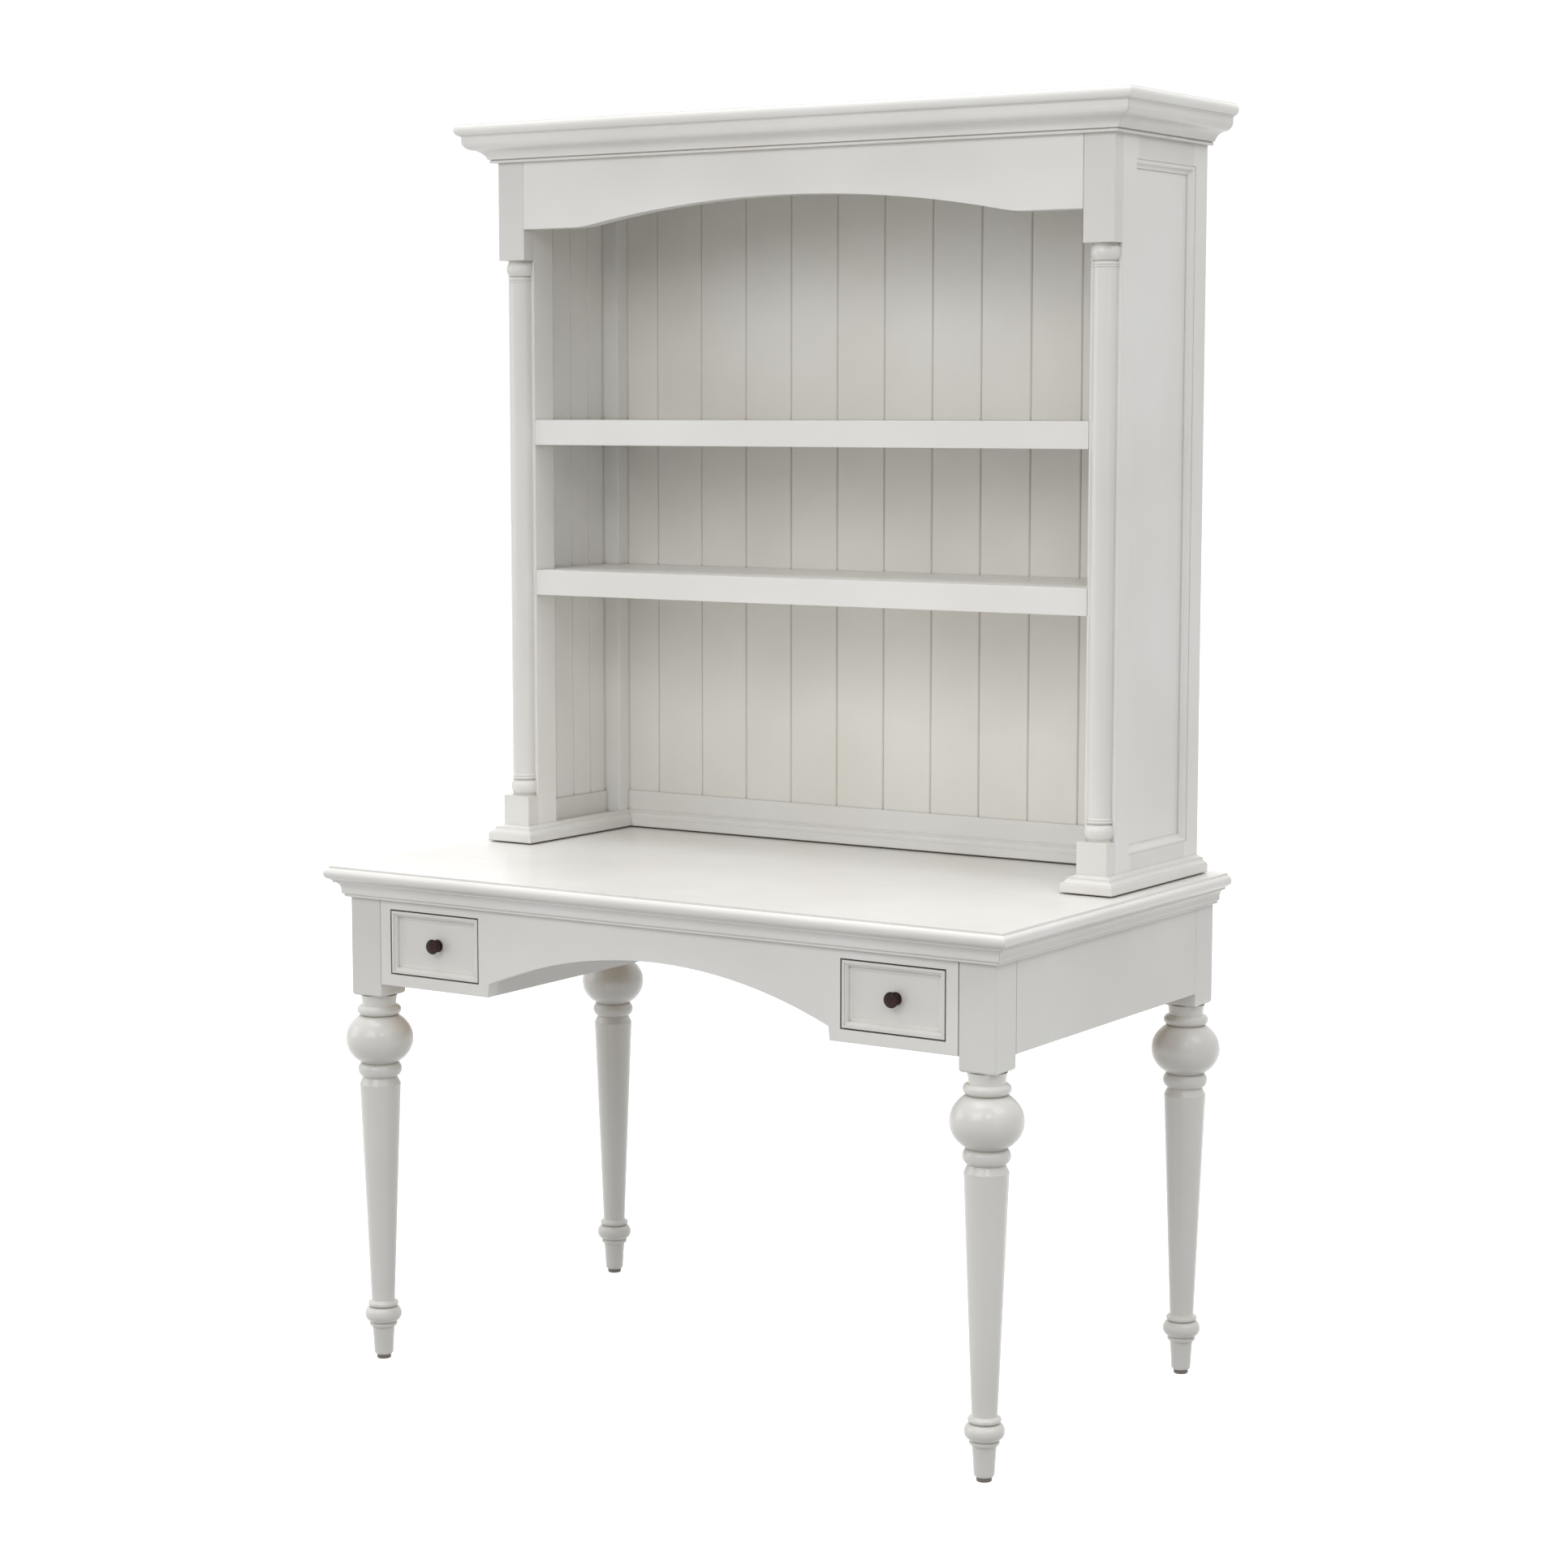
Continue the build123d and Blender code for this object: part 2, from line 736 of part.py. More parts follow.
def make_partition():
    # Closes the drawer space from the knee space; its lower edge is level with the foot of the apron.
    inner = arch_half + arch_foot_lead
    outer = drawer_x - drawer_width / 2 - drawer_clearance - guide_thickness - fit
    low = (inner, leg_front + apron_thickness, apron_bottom)
    return box_between(low, (outer, back - apron_thickness, top_underside))


def make_kicker():
    # Keeps the drawer level as it comes out; it hangs under the desk top.
    low = (drawer_x - kicker_width / 2, leg_front + apron_thickness, drawer_base + drawer_side_height + 1)
    high = (drawer_x + kicker_width / 2, back - apron_thickness, top_underside)
    return box_between(low, high)


def make_stop(hand):
    # Block on the runner behind one drawer side.
    side_face = drawer_x + hand * (drawer_width / 2 + drawer_clearance)
    inner = side_face - hand * drawer_side_thickness
    low = (min(side_face, inner), drawer_back + drawer_clearance, opening_bottom)
    high = (max(side_face, inner), drawer_back + drawer_clearance + stop_length, opening_bottom + stop_height)
    return box_between(low, high)


# Hutch side walls


def turning_outline():
    # Half column between the plinth block and the capital block, the same at both ends.
    middle = (plinth_top + capital_bottom) / 2
    low = plinth_top
    bulb_low = low + bulb_gap
    bulb_high = bulb_low + bulb_height
    collar_low = bulb_high + bulb_gap
    neck = shaft_radius - 1.0
    lower = [
        Polyline((0, low), (neck + 1.5, low), (neck + 1.5, bulb_low)),
        ThreePointArc(
            (neck + 1.5, bulb_low), (bulb_radius, bulb_low + bulb_height / 2), (neck + 1.5, bulb_high)
        ),
        Polyline(
            (neck + 1.5, bulb_high),
            (neck, bulb_high),
            (neck, collar_low),
            (collar_radius - 0.6, collar_low),
        ),
        ThreePointArc(
            (collar_radius - 0.6, collar_low), (collar_radius, collar_low + 1.9),
            (collar_radius - 0.6, collar_low + 3.8),
        ),
        Polyline(
            (collar_radius - 0.6, collar_low + 3.8),
            (collar_radius - 1.0, collar_low + 3.8),
            (collar_radius - 0.4, collar_low + 4.6),
            (collar_radius - 0.4, collar_low + 6.4),
            (shaft_radius, collar_low + 7.6),
            (shaft_radius, middle),
        ),
    ]
    edges = [edge for line in lower for edge in line.edges()]
    half_face = make_face(edges + Polyline((shaft_radius, middle), (0, middle), (0, low)).edges())
    return half_face + mirror(half_face, about=Plane(origin=(0, middle, 0), z_dir=(0, 1, 0)))


def make_turning():
    # Split turning: its flat back lies on the front of the post.
    x0 = wall_in
    x1 = case_x
    plinth = box_between((x0, case_front, hutch_bottom), (x1, post_front, plinth_top))
    capital = box_between((x0, case_front, capital_bottom), (x1, post_front, case_top))
    column = turned(turning_outline(), (x0 + x1) / 2, post_front)
    column &= box_between((x0, case_front, plinth_top), (x1, post_front, capital_bottom))
    front_edges = [e for b in (plinth, capital) for e in b.edges().filter_by(Axis.Z).group_by(Axis.Y)[0]]
    plinth = fillet([e for e in front_edges if e.center().Z < plinth_top], post_ease)
    capital = fillet([e for e in front_edges if e.center().Z > capital_bottom], post_ease)
    return plinth + column + capital


def panel_opening(grown):
    # Height and depth range of the space that the side panel fills, grown all round.
    return (
        (post_back - grown, rear_post_front + grown),
        (bottom_rail_top - grown, top_rail_bottom + grown),
    )


def rebate_cut():
    # The panel goes in from outside: post and rails are rebated for it.
    (y0, y1), (z0, z1) = panel_opening(panel_rebate)
    return box_between((panel_inner, y0, z0), (case_x + 1, y1, z1))


def make_front_post():
    post = box_between((wall_in, post_front, hutch_bottom), (case_x, post_back, case_top))
    inner_edges = post.edges().filter_by(Axis.Z).group_by(Axis.X)[0]
    post = fillet(inner_edges, post_ease)
    return post - rebate_cut()


def make_rear_post():
    post = box_between((wall_in, rear_post_front, hutch_bottom), (case_x, case_back, case_top))
    post = fillet(post.edges().filter_by(Axis.Z).group_by(Axis.X)[0].sort_by(Axis.Y)[0], post_ease)
    # Rebate at the back for the beaded back panel.
    post -= box_between(
        (wall_in - 1, bead_y, hutch_bottom - 1), (wall_in + panel_rebate, case_back + 1, case_top + 1)
    )
    for screw in bracket_post_screws():
        if screw[0][0] > 0:
            post -= screw_hole(*screw)
    return post - rebate_cut()


def make_side_rails():
    inner = case_x - rail_thickness
    foot_top = hutch_bottom + base_height - 3
    y0 = post_back
    y1 = rear_post_front
    top_rail = box_between((inner, y0, top_rail_bottom), (case_x, y1, case_top))
    bottom_rail = box_between((inner, y0, hutch_bottom), (case_x, y1, bottom_rail_top))
    # Its thick foot fills in behind the inner base moulding.
    bottom_rail += box_between((wall_in, y0, hutch_bottom), (inner, y1, foot_top))
    return top_rail - rebate_cut(), bottom_rail - rebate_cut()


def make_side_panel():
    (y0, y1), (z0, z1) = panel_opening(panel_rebate - panel_clearance)
    panel = box_between((panel_inner, y0, z0), (panel_outer, y1, z1))
    middle = (post_back + rear_post_front) / 2
    for step in (-1, 0, 1):
        panel -= upright_groove((panel_inner, middle + step * side_groove_pitch), (1, 0, 0), z0 - 1, z1 + 1)
    return panel


def panel_moulding_section():
    # Fillet, ogee and quirk; x runs in from the stile, y = 0 is the outer face of the panel.
    width = panel_moulding_width
    height = case_x - panel_outer
    return face_of(
        Polyline((0, 0), (0, height - 1), (0.12 * width, height - 1)),
        ThreePointArc(
            (0.12 * width, height - 1), (0.42 * width, 0.72 * height), (0.55 * width, 0.42 * height)
        ),
        ThreePointArc(
            (0.55 * width, 0.42 * height), (0.68 * width, 0.24 * height), (0.85 * width, 0.2 * height)
        ),
        Polyline((0.85 * width, 0.2 * height), (width, 0.2 * height), (width, 0), (0, 0)),
    )


def make_panel_moulding():
    # Holds the panel in its rebate from outside.
    (y0, y1), (z0, z1) = panel_opening(panel_rebate)
    strips = mitred_frame(panel_moulding_section(), y1 - y0, z1 - z0, 1.2 * panel_moulding_width)
    plane = Plane(origin=(panel_outer, (y0 + y1) / 2, (z0 + z1) / 2), x_dir=(0, 1, 0), z_dir=(1, 0, 0))
    return [plane * strip for strip in strips]


def base_profile():
    # Tall flat plinth, small ogee and cove; y = 0 is its lower edge.
    return face_of(
        Line((0, 0), (base_reach - 1.6, 0)),
        ThreePointArc((base_reach - 1.6, 0), (base_reach - 0.5, 0.5), (base_reach, 1.6)),
        Line((base_reach, 1.6), (base_reach, base_height - 13.5)),
        ThreePointArc(
            (base_reach, base_height - 13.5),
            (base_reach - 0.5, base_height - 12.3),
            (base_reach - 1.8, base_height - 11.8),
        ),
        Line((base_reach - 1.8, base_height - 11.8), (base_reach - 1.8, base_height - 10.8)),
        ThreePointArc(
            (base_reach - 1.8, base_height - 10.8),
            (base_reach - 5.6, base_height - 9.0),
            (base_reach - 8.2, base_height - 5.6),
        ),
        Line((base_reach - 8.2, base_height - 5.6), (base_reach - 8.2, base_height - 3.2)),
        ThreePointArc(
            (base_reach - 8.2, base_height - 3.2),
            (base_reach - 13.5, base_height - 2.2),
            (0.6, base_height),
        ),
        Polyline((0.6, base_height), (0, base_height), (0, 0)),
    )


def make_base_mouldings():
    # Mitred runs round the outside, front and inside of the right-hand wall.
    profile = base_profile()
    reach = 2 * base_reach
    low = hutch_bottom - 1
    high = hutch_bottom + base_height + 1
    length = hutch_depth + 4 * reach
    y_mid = (case_front + case_back) / 2
    x_mid = (wall_in + case_x) / 2
    outer = run_of(profile, (case_x, y_mid, hutch_bottom), (1, 0, 0), length)
    outer &= plan_prism(
        [
            (case_x, case_front),
            (case_x + reach, case_front - reach),
            (case_x + reach, case_back),
            (case_x, case_back),
        ],
        low,
        high,
    )
    across = run_of(profile, (x_mid, case_front, hutch_bottom), (0, -1, 0), wall_thickness + 4 * reach)
    across &= plan_prism(
        [
            (wall_in, case_front),
            (case_x, case_front),
            (case_x + reach, case_front - reach),
            (wall_in - reach, case_front - reach),
        ],
        low,
        high,
    )
    inner = run_of(profile, (wall_in, y_mid, hutch_bottom), (-1, 0, 0), length)
    inner &= plan_prism(
        [
            (wall_in, case_front),
            (wall_in, back_rail_front),
            (wall_in - reach, back_rail_front - reach),
            (wall_in - reach, case_front - reach),
        ],
        low,
        high,
    )
    return outer, across, inner


def make_back_base_moulding():
    reach = 2 * base_reach
    run = run_of(base_profile(), (0, back_rail_front, hutch_bottom), (0, -1, 0), 2 * wall_in)
    plan = [
        (-wall_in, back_rail_front),
        (wall_in, back_rail_front),
        (wall_in - reach, back_rail_front - reach),
        (reach - wall_in, back_rail_front - reach),
    ]
    return run & plan_prism(plan, hutch_bottom - 1, hutch_bottom + base_height + 1)


# Hutch back, shelves, frieze and crown


def make_back_rails():
    # A thin tongue stands in front of the panel; the thick part behind reaches into the post rebates.
    wide = wall_in + panel_rebate - fit
    rails = []
    for low, high in ((hutch_bottom, bottom_rail_top), (top_rail_bottom, case_top)):
        tongue = box_between((-wall_in, back_rail_front, low), (wall_in, bead_y, high))
        thick = box_between((-wide, bead_y, low), (wide, case_back, high))
        rails.append(tongue + thick)
    beyond = wide + 1
    seat_low = bottom_rail_top - panel_rebate
    seat = box_between((-beyond, bead_y, seat_low), (beyond, case_back + 1, top_rail_bottom + panel_rebate))
    return [rail - seat for rail in rails]


def make_back_panel():
    half = wall_in + panel_rebate - panel_clearance
    low = bottom_rail_top - panel_rebate + panel_clearance
    high = top_rail_bottom + panel_rebate - panel_clearance
    panel = box_between((-half, bead_y, low), (half, bead_y + back_panel_thickness, high))
    count = int(half // back_groove_pitch)
    for step in range(-count, count + 1):
        panel -= upright_groove((step * back_groove_pitch, bead_y), (0, 1, 0), low - 1, high + 1)
    return panel


def make_shelf(top):
    # Notched round the four posts, so that it reaches the side panels between them.
    low = top - shelf_thickness
    shelf = box_between((-wall_in + fit, post_front, low), (wall_in - fit, bead_y - fit, top))
    edges = shelf.edges().filter_by(Axis.X).group_by(Axis.Y)[0]
    shelf = fillet(edges, shelf_ease)
    wide = panel_inner - fit
    return shelf + box_between((-wide, post_back + fit, low), (wide, rear_post_front - fit, top))


def shelf_dowels():
    # Short dowels that carry the shelf ends in the posts.
    reach = dowel_depth
    ends = []
    for top in shelf_tops.values():
        z = top - shelf_thickness / 2
        for y in (post_front + front_post_depth / 2, (rear_post_front + bead_y) / 2):
            for hand in hands.values():
                ends.append(((hand * (wall_in - reach), y, z), (hand * (wall_in + reach), y, z)))
    return ends


def with_shelf_dowel_holes(shape, hand=0):
    for start, end in shelf_dowels():
        if hand == 0 or start[0] * hand > 0:
            shape -= cylinder_between(start, end, dowel_radius + fit / 2)
    return shape


def make_frieze():
    half = wall_in - fit
    bottom = total_height - frieze_bottom_drop
    arch = [
        Polyline((half, bottom), (frieze_arch_half, bottom)),
        ThreePointArc(
            (frieze_arch_half, bottom), (0, bottom + frieze_arch_rise), (-frieze_arch_half, bottom)
        ),
        Polyline(
            (-frieze_arch_half, bottom),
            (-half, bottom),
            (-half, case_top),
            (half, case_top),
            (half, bottom),
        ),
    ]
    outline = face_of(*arch)
    corners = [v for v in outline.vertices() if abs(abs(v.X) - frieze_arch_half) < 1]
    outline = fillet(corners, frieze_blend)
    return Pos(0, case_front, 0) * extrude(Plane.XZ * outline, amount=-turning_depth)


def crown_profile():
    # Bead, cove, ovolo and fillet, widening upwards; y = 0 is its lower edge.
    out = crown_moulding_reach
    high = crown_height
    return face_of(
        Polyline((0, 0), (8.0, 0)),
        ThreePointArc((8.0, 0), (9.6, 2.2), (8.0, 4.4)),
        Polyline((8.0, 4.4), (8.0, 5.4), (11.5, 5.4)),
        ThreePointArc((11.5, 5.4), (17.0, 14.2), (27.0, 19.5)),
        ThreePointArc((27.0, 19.5), (out - 8.2, 22.6), (out - 3.0, 30.5)),
        Polyline((out - 3.0, 30.5), (out - 3.0, high - 2.5), (out, high), (0, high), (0, 0)),
    )


def make_hutch_top():
    profile = nosing_profile(
        crown_reach, hutch_top_thickness, hutch_top_nosing, hutch_top_quirk, hutch_top_quirk
    )
    return board_with_nosing(profile, case_x, case_front, case_back, case_top, hutch_top_thickness)


def hutch_spacers():
    # Thin strips under the posts and under the foot of each side rail.
    x0 = wall_in + spacer_inset
    x1 = case_x - spacer_inset
    pads = []
    for y0, y1 in (
        (case_front + spacer_inset, post_back - spacer_inset),
        (post_back + spacer_inset, rear_post_front - spacer_inset),
        (rear_post_front + spacer_inset, bead_y - spacer_inset),
    ):
        pad = box_between((x0, y0, desk_height), (x1, y1, hutch_bottom))
        pads += [pad, mirrored(pad)]
    return pads


# Writing the pieces

for side, hand in hands.items():
    for place, axis_y in leg_axes_y.items():
        leg = make_leg(leg_axis_x, axis_y)
        save(f"leg_{place}_{side}", leg if hand > 0 else mirrored(leg))
save(
    "leg_glides",
    *[make_glide(hand * leg_axis_x, y) for hand in hands.values() for y in leg_axes_y.values()],
)
save("front_apron", make_front_apron())
save("rear_apron", make_rear_apron())
side_apron = make_side_apron()
save("right_apron", side_apron)
save("left_apron", mirrored(side_apron))
save("desk_top", make_desk_top())
bed = mitred_three(bed_profile(), leg_out, leg_front, back, top_underside - bed_height, bed_height)
for side, stick in bed.items():
    save(f"bed_moulding_{side}", stick)
cleat = make_cleat()
save("top_cleats", cleat, mirrored(cleat))
bracket = make_bracket()
save("hutch_brackets", bracket, mirrored(bracket))
screws = cleat_screws("up") + cleat_screws("out") + bracket_foot_screws() + bracket_post_screws()
save("wood_screws", *[screw_at(*screw) for screw in screws])

for name, piece in drawer_pieces().items():
    save(f"right_{name}", piece)
    save(f"left_{name}", mirrored(piece))
runners = [make_runner(hand) for hand in hands.values()]
stops = [make_stop(hand) for hand in hands.values()]
kicker = make_kicker()
save("drawer_runners", *runners, *[mirrored(runner) for runner in runners])
save("drawer_stops", *stops, *[mirrored(stop) for stop in stops])
save("drawer_kickers", kicker, mirrored(kicker))
partition = make_partition()
save("drawer_partitions", partition, mirrored(partition))

turning = make_turning()
front_post = with_shelf_dowel_holes(make_front_post(), 1)
rear_post = with_shelf_dowel_holes(make_rear_post(), 1)
side_rails = make_side_rails()
side_panel = make_side_panel()
panel_moulding = make_panel_moulding()
base_mouldings = make_base_mouldings()
wall_nodes = {
    "turning": [turning],
    "front_post": [front_post],
    "rear_post": [rear_post],
    "side_rails": list(side_rails),
    "side_panel": [side_panel],
    "panel_moulding": panel_moulding,
    "base_moulding": list(base_mouldings),
}
for name, pieces in wall_nodes.items():
    save(f"hutch_{name}_right", *pieces)
    save(f"hutch_{name}_left", *[mirrored(piece) for piece in pieces])
save("hutch_base_moulding_back", make_back_base_moulding())
save("hutch_back_rails", *make_back_rails())
save("hutch_back_panel", make_back_panel())
for name, top in shelf_tops.items():
    save(name, with_shelf_dowel_holes(make_shelf(top)))
save(
    "dowels",
    *[cylinder_between(start, end, dowel_radius) for start, end in apron_dowels() + shelf_dowels()],
)
save("hutch_frieze", make_frieze())
crown = mitred_three(crown_profile(), case_x, case_front, case_back, crown_bottom, crown_height)
for side, stick in crown.items():
    save(f"crown_{side}", stick)
save("hutch_top", make_hutch_top())
save("hutch_spacers", *hutch_spacers())
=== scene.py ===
import bpy
import json
import math
from mathutils import Euler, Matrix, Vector

# White painted writing desk with an open hutch. Metres, in the frame that the CAD part gives.

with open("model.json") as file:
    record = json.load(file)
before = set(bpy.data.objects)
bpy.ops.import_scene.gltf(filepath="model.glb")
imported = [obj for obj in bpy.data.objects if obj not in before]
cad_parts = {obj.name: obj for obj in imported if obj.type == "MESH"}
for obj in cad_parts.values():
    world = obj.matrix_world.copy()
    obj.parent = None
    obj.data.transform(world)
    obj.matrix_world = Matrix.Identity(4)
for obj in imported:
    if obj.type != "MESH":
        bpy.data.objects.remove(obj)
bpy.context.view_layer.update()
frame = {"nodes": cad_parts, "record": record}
nodes = frame["nodes"]
print("frame loaded:", len(nodes), "nodes")


def linear(hexColour):
    # sRGB hex to the linear colour that the shaders use
    channels = [int(hexColour[i:i + 2], 16) / 255 for i in (1, 3, 5)]
    return tuple(c / 12.92 if c <= 0.04045 else ((c + 0.055) / 1.055) ** 2.4 for c in channels) + (1.0,)


def perMetre(millimetres):
    return 1000.0 / millimetres  # texture scale that repeats about every so many millimetres


def newMaterial(name):
    material = bpy.data.materials.new(name)
    material.use_nodes = True
    tree = material.node_tree
    tree.nodes.clear()
    return material, tree


def addNode(tree, kind, settings=None, links=None):
    node = tree.nodes.new(kind)
    for key, value in (settings or {}).items():
        if isinstance(key, int) or key in node.inputs:
            node.inputs[key].default_value = value
        else:
            setattr(node, key, value)
    for key, source in (links or {}).items():
        tree.links.new(source, node.inputs[key])
    return node


# Satin alkyd paint, brushed on hardwood and rubbed back a little.
# It gives a soft sheen, faint brush lines along each board, grey-beige glaze and painted shade in the corners
# and a few chips.
satinPaint = {
    "colour": "#eeedea",
    "cloud": "#e7e5e0",  # slow drift of tone between coats
    "glaze": "#b3aca0",  # glaze in corners and quirks, which is also painted shade there
    "primer": "#cdbfa6",  # shows at chips
    "roughness": 0.30,
    "cloudSize": 260,  # mm
    "strokeWidth": 5,  # bristle lines are about 1 mm apart; drawn at 5 mm so that they show
    "strokeLength": 170,
    "pore": 1.6,  # grain that telegraphs through the paint
    "poreLength": 22,
    "peel": 3.0,  # slight orange peel
    "edgeRound": 1.1,  # mm, eased arris
    "glazeReach": 9,  # mm
    "chipSize": 7,
    "patchSize": 90,  # chips come in patches about this far apart
    "chipFrom": 0.66,  # noise levels where a chip starts and is whole
    "chipWhole": 0.70,
    "patchFrom": 0.60,
    "patchWhole": 0.66,
    "edgeFrom": 0.995,  # agreement of the eased and the flat normal where an edge starts and is whole
    "edgeWhole": 0.9,
    "glazeAndShadeFrom": 0.75,  # openness of a corner where the glaze and painted shade start and are thickest
    "glazeAndShadeWhole": 0.2,
    "glazeAndShadeMost": 0.85,
    "glazeDull": 0.3,  # roughness that full glaze adds
    "peelDepth": 0.02,
    "strokeDepth": 0.012,
    "grainDepth": 0.012,
    "chipDepth": 0.5,
    "coatHeight": 0.0006,  # metres, for brush lines and chips
    "fineHeight": 0.0003,  # metres, for grain and peel
    "streak": 0.005,  # how much darker the lines between bristles are
    "wear": 0.5,
    "dustColour": "#b5b1aa",
    "dust": 0.0,  # painted shade: how much darker the faces that look up are painted
}


def paintedWood(name, strokes, **changes):
    # strokes: the axis, 0 1 or 2, that the brush followed
    look = {**satinPaint, **changes}
    material, tree = newMaterial(name)
    place = addNode(tree, "ShaderNodeTexCoord").outputs["Object"]

    def along(length, width):
        scale = [perMetre(width)] * 3
        scale[strokes] = perMetre(length)
        return addNode(tree, "ShaderNodeMapping", {"Scale": scale}, {"Vector": place}).outputs["Vector"]

    cloud = addNode(tree, "ShaderNodeTexNoise", {"Scale": perMetre(look["cloudSize"]), "Detail": 3.0},
                    {"Vector": place}).outputs["Fac"]
    stroke = addNode(tree, "ShaderNodeTexNoise", {"Scale": 1.0, "Detail": 4.0, "Roughness": 0.6},
                     {"Vector": along(look["strokeLength"], look["strokeWidth"])}).outputs["Fac"]
    grain = addNode(tree, "ShaderNodeTexNoise", {"Scale": 1.0, "Detail": 2.0, "Distortion": 0.3},
                    {"Vector": along(look["poreLength"], look["pore"])}).outputs["Fac"]
    peel = addNode(tree, "ShaderNodeTexNoise", {"Scale": perMetre(look["peel"]), "Detail": 2.0},
                   {"Vector": place}).outputs["Fac"]
    chips = addNode(tree, "ShaderNodeTexNoise", {"Scale": perMetre(look["chipSize"]), "Detail": 3.0,
                                                "Roughness": 0.65}, {"Vector": place}).outputs["Fac"]
    patches = addNode(tree, "ShaderNodeTexNoise", {"Scale": perMetre(look["patchSize"]), "Detail": 1.0},
                      {"Vector": place}).outputs["Fac"]

    # eased arrises: the rounded normal also tells where the edges are
    eased = addNode(tree, "ShaderNodeBevel", {"samples": 6, "Radius": look["edgeRound"] / 1000})
    eased = eased.outputs["Normal"]
    flat = addNode(tree, "ShaderNodeNewGeometry").outputs["True Normal"]
    facing = addNode(tree, "ShaderNodeVectorMath", {"operation": "DOT_PRODUCT"},
                     {0: eased, 1: flat}).outputs["Value"]
    edge = addNode(tree, "ShaderNodeMapRange", {"From Min": look["edgeFrom"], "From Max": look["edgeWhole"]},
                   {"Value": facing}).outputs[0]
    # painted shade: ambient occlusion finds corners, quirks and recesses, and the glaze colour darkens them
    # as shade would
    corner = addNode(tree, "ShaderNodeAmbientOcclusion",
                     {"samples": 6, "Distance": look["glazeReach"] / 1000}, {"Normal": flat}).outputs["AO"]

    # chips only on edges, and only where both noises agree
    chipSpots = addNode(tree, "ShaderNodeMapRange", {"From Min": look["chipFrom"],
                                                     "From Max": look["chipWhole"]},
                        {"Value": chips}).outputs[0]
    chipPatches = addNode(tree, "ShaderNodeMapRange", {"From Min": look["patchFrom"],
                                                       "From Max": look["patchWhole"]},
                          {"Value": patches}).outputs[0]
    chipped = addNode(tree, "ShaderNodeMath", {"operation": "MULTIPLY"},
                      {0: chipSpots, 1: chipPatches}).outputs[0]
    chipped = addNode(tree, "ShaderNodeMath", {"operation": "MULTIPLY"}, {0: chipped, 1: edge}).outputs[0]
    chipped = addNode(tree, "ShaderNodeMath", {"operation": "MULTIPLY", 1: look["wear"]},
                      {0: chipped}).outputs[0]

    tone = addNode(tree, "ShaderNodeMapRange", {"From Min": 0.35, "From Max": 0.7},
                   {"Value": cloud}).outputs[0]
    colour = addNode(tree, "ShaderNodeMix", {"data_type": "RGBA", 6: linear(look["colour"]),
                                             7: linear(look["cloud"])}, {0: tone}).outputs[2]
    streak = addNode(tree, "ShaderNodeMapRange", {"From Min": 0.3, "From Max": 0.8,
                                                  "To Min": 1 - look["streak"]}, {"Value": stroke}).outputs[0]
    colour = addNode(tree, "ShaderNodeVectorMath", {"operation": "SCALE"},
                     {0: colour, "Scale": streak}).outputs[0]
    # painted shade: faces that look up are mixed towards a darker grey-beige
    upward = addNode(tree, "ShaderNodeSeparateXYZ", {}, {0: flat}).outputs["Z"]
    dusty = addNode(tree, "ShaderNodeMapRange", {"From Min": 0.9, "To Max": look["dust"]},
                    {"Value": upward}).outputs[0]
    colour = addNode(tree, "ShaderNodeMix", {"data_type": "RGBA", 7: linear(look["dustColour"])},
                     {0: dusty, 6: colour}).outputs[2]
    # painted shade and glaze: the corner mask mixes the dark glaze colour into the paint
    glazeAndShadeMask = addNode(tree, "ShaderNodeMapRange", {"From Min": look["glazeAndShadeFrom"],
                                                  "From Max": look["glazeAndShadeWhole"],
                                                  "To Max": look["glazeAndShadeMost"]}, {"Value": corner}).outputs[0]
    colour = addNode(tree, "ShaderNodeMix", {"data_type": "RGBA", 7: linear(look["glaze"])},
                     {0: glazeAndShadeMask, 6: colour}).outputs[2]
    colour = addNode(tree, "ShaderNodeMix", {"data_type": "RGBA", 7: linear(look["primer"])},
                     {0: chipped, 6: colour}).outputs[2]

    rough = addNode(tree, "ShaderNodeMapRange", {"From Min": 0.3, "From Max": 0.7,
                                                 "To Min": look["roughness"] - 0.015,
                                                 "To Max": look["roughness"] + 0.02},
                    {"Value": stroke}).outputs[0]
    rough = addNode(tree, "ShaderNodeMath", {"operation": "MULTIPLY_ADD", 1: look["glazeDull"]},
                    {0: glazeAndShadeMask, 2: rough}).outputs[0]

    bumps = addNode(tree, "ShaderNodeBump", {"Strength": look["strokeDepth"], "Distance": look["coatHeight"]},
                    {"Height": stroke, "Normal": eased}).outputs["Normal"]
    bumps = addNode(tree, "ShaderNodeBump", {"Strength": look["grainDepth"], "Distance": look["fineHeight"]},
                    {"Height": grain, "Normal": bumps}).outputs["Normal"]
    bumps = addNode(tree, "ShaderNodeBump", {"Strength": look["peelDepth"], "Distance": look["fineHeight"]},
                    {"Height": peel, "Normal": bumps}).outputs["Normal"]
    bumps = addNode(tree, "ShaderNodeBump", {"Strength": look["chipDepth"], "Distance": look["coatHeight"],
                                             "invert": True},
                    {"Height": chipped, "Normal": bumps}).outputs["Normal"]

    shader = addNode(tree, "ShaderNodeBsdfPrincipled", {"IOR": 1.5},
                     {"Base Color": colour, "Roughness": rough, "Normal": bumps})
    addNode(tree, "ShaderNodeOutputMaterial", {}, {"Surface": shader.outputs[0]})
    return material


# Clear-lacquered pine inside the drawers: warm yellow boards with darker latewood lines along the grain
pineBoard = {"light": "#e3c79b", "dark": "#d5b280", "ringWidth": 9, "fibreWidth": 1.2, "roughness": 0.46,
             "stretch": 0.06, "wavesPerScale": 6.3, "fibreShare": 0.35, "lightUpTo": 0.25}


